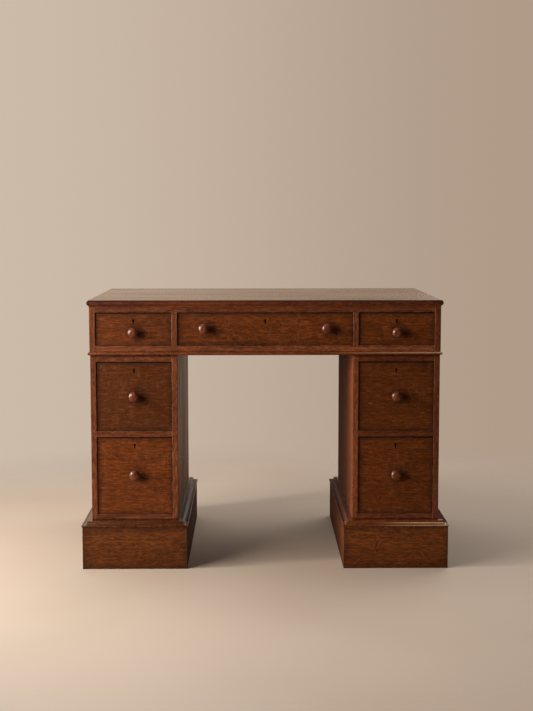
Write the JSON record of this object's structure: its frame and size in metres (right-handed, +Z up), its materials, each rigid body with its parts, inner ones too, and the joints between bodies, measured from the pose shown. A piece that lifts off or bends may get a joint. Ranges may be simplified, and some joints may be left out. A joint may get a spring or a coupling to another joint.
{
  "type": "pedestal desk",
  "caption": "Oak kneehole desk: a moulded top and three-drawer frieze on two plinthed pedestals of two deep drawers each, with turned knobs and locks.",
  "frame": {"origin": "centre of the footprint, on the floor", "axes": "+X to the right of a person who faces the drawer fronts, +Y to the back, +Z up; the drawers open towards -Y"},
  "size_m": [1.042, 0.6844, 0.762],
  "materials": {
    "top_oak": "waxed and polished stained oak",
    "carcase_oak": "waxed stained oak",
    "moulding_oak": "waxed stained oak",
    "drawer_front_oak": "waxed stained oak",
    "knob_wood": "polished turned hardwood",
    "lining_wood": "plain unpolished wood",
    "lock_brass": "aged brass",
    "bolt_steel": "dull steel"
  },
  "bodies": {
    "desk_carcase": {"desk_top": "top_oak", "frieze_side_left": "carcase_oak", "frieze_side_right": "carcase_oak", "frieze_back": "carcase_oak", "frieze_rails": "carcase_oak", "frieze_dividers": "carcase_oak", "frieze_runners": "lining_wood", "frieze_bead": "moulding_oak", "locating_blocks": "lining_wood", "left_outer_side": "carcase_oak", "left_inner_side": "carcase_oak", "left_back": "carcase_oak", "left_rails": "carcase_oak", "left_boards": "lining_wood", "left_runners": "lining_wood", "left_plinth": "carcase_oak", "left_plinth_moulding": "moulding_oak", "right_outer_side": "carcase_oak", "right_inner_side": "carcase_oak", "right_back": "carcase_oak", "right_rails": "carcase_oak", "right_boards": "lining_wood", "right_runners": "lining_wood", "right_plinth": "carcase_oak", "right_plinth_moulding": "moulding_oak"},
    "frieze_left_drawer": {"frieze_left_drawer_front": "drawer_front_oak", "frieze_left_drawer_box": "lining_wood", "frieze_left_drawer_knob": "knob_wood", "frieze_left_drawer_lock": "lock_brass"},
    "frieze_left_drawer_bolt_body": {"frieze_left_drawer_bolt": "bolt_steel"},
    "frieze_centre_drawer": {"frieze_centre_drawer_front": "drawer_front_oak", "frieze_centre_drawer_box": "lining_wood", "frieze_centre_drawer_knobs": "knob_wood", "frieze_centre_drawer_lock": "lock_brass"},
    "frieze_centre_drawer_bolt_body": {"frieze_centre_drawer_bolt": "bolt_steel"},
    "frieze_right_drawer": {"frieze_right_drawer_front": "drawer_front_oak", "frieze_right_drawer_box": "lining_wood", "frieze_right_drawer_knob": "knob_wood", "frieze_right_drawer_lock": "lock_brass"},
    "frieze_right_drawer_bolt_body": {"frieze_right_drawer_bolt": "bolt_steel"},
    "left_upper_drawer": {"left_upper_drawer_front": "drawer_front_oak", "left_upper_drawer_box": "lining_wood", "left_upper_drawer_knob": "knob_wood", "left_upper_drawer_lock": "lock_brass"},
    "left_upper_drawer_bolt_body": {"left_upper_drawer_bolt": "bolt_steel"},
    "left_lower_drawer": {"left_lower_drawer_front": "drawer_front_oak", "left_lower_drawer_box": "lining_wood", "left_lower_drawer_knob": "knob_wood", "left_lower_drawer_lock": "lock_brass"},
    "left_lower_drawer_bolt_body": {"left_lower_drawer_bolt": "bolt_steel"},
    "right_upper_drawer": {"right_upper_drawer_front": "drawer_front_oak", "right_upper_drawer_box": "lining_wood", "right_upper_drawer_knob": "knob_wood", "right_upper_drawer_lock": "lock_brass"},
    "right_upper_drawer_bolt_body": {"right_upper_drawer_bolt": "bolt_steel"},
    "right_lower_drawer": {"right_lower_drawer_front": "drawer_front_oak", "right_lower_drawer_box": "lining_wood", "right_lower_drawer_knob": "knob_wood", "right_lower_drawer_lock": "lock_brass"},
    "right_lower_drawer_bolt_body": {"right_lower_drawer_bolt": "bolt_steel"}
  },
  "joints": [
    {"name": "frieze_left_drawer_slide", "type": "slide", "parent": "desk_carcase", "child": "frieze_left_drawer", "axis": [0, -1, 0], "range_m": [0, 0.4]},
    {"name": "frieze_left_drawer_bolt_slide", "type": "slide", "parent": "frieze_left_drawer", "child": "frieze_left_drawer_bolt_body", "axis": [0, 0, 1], "range_m": [0, 0.008]},
    {"name": "frieze_centre_drawer_slide", "type": "slide", "parent": "desk_carcase", "child": "frieze_centre_drawer", "axis": [0, -1, 0], "range_m": [0, 0.4]},
    {"name": "frieze_centre_drawer_bolt_slide", "type": "slide", "parent": "frieze_centre_drawer", "child": "frieze_centre_drawer_bolt_body", "axis": [0, 0, 1], "range_m": [0, 0.008]},
    {"name": "frieze_right_drawer_slide", "type": "slide", "parent": "desk_carcase", "child": "frieze_right_drawer", "axis": [0, -1, 0], "range_m": [0, 0.4]},
    {"name": "frieze_right_drawer_bolt_slide", "type": "slide", "parent": "frieze_right_drawer", "child": "frieze_right_drawer_bolt_body", "axis": [0, 0, 1], "range_m": [0, 0.008]},
    {"name": "left_upper_drawer_slide", "type": "slide", "parent": "desk_carcase", "child": "left_upper_drawer", "axis": [0, -1, 0], "range_m": [0, 0.4]},
    {"name": "left_upper_drawer_bolt_slide", "type": "slide", "parent": "left_upper_drawer", "child": "left_upper_drawer_bolt_body", "axis": [0, 0, 1], "range_m": [0, 0.008]},
    {"name": "left_lower_drawer_slide", "type": "slide", "parent": "desk_carcase", "child": "left_lower_drawer", "axis": [0, -1, 0], "range_m": [0, 0.4]},
    {"name": "left_lower_drawer_bolt_slide", "type": "slide", "parent": "left_lower_drawer", "child": "left_lower_drawer_bolt_body", "axis": [0, 0, 1], "range_m": [0, 0.008]},
    {"name": "right_upper_drawer_slide", "type": "slide", "parent": "desk_carcase", "child": "right_upper_drawer", "axis": [0, -1, 0], "range_m": [0, 0.4]},
    {"name": "right_upper_drawer_bolt_slide", "type": "slide", "parent": "right_upper_drawer", "child": "right_upper_drawer_bolt_body", "axis": [0, 0, 1], "range_m": [0, 0.008]},
    {"name": "right_lower_drawer_slide", "type": "slide", "parent": "desk_carcase", "child": "right_lower_drawer", "axis": [0, -1, 0], "range_m": [0, 0.4]},
    {"name": "right_lower_drawer_bolt_slide", "type": "slide", "parent": "right_lower_drawer", "child": "right_lower_drawer_bolt_body", "axis": [0, 0, 1], "range_m": [0, 0.008]}
  ]
}
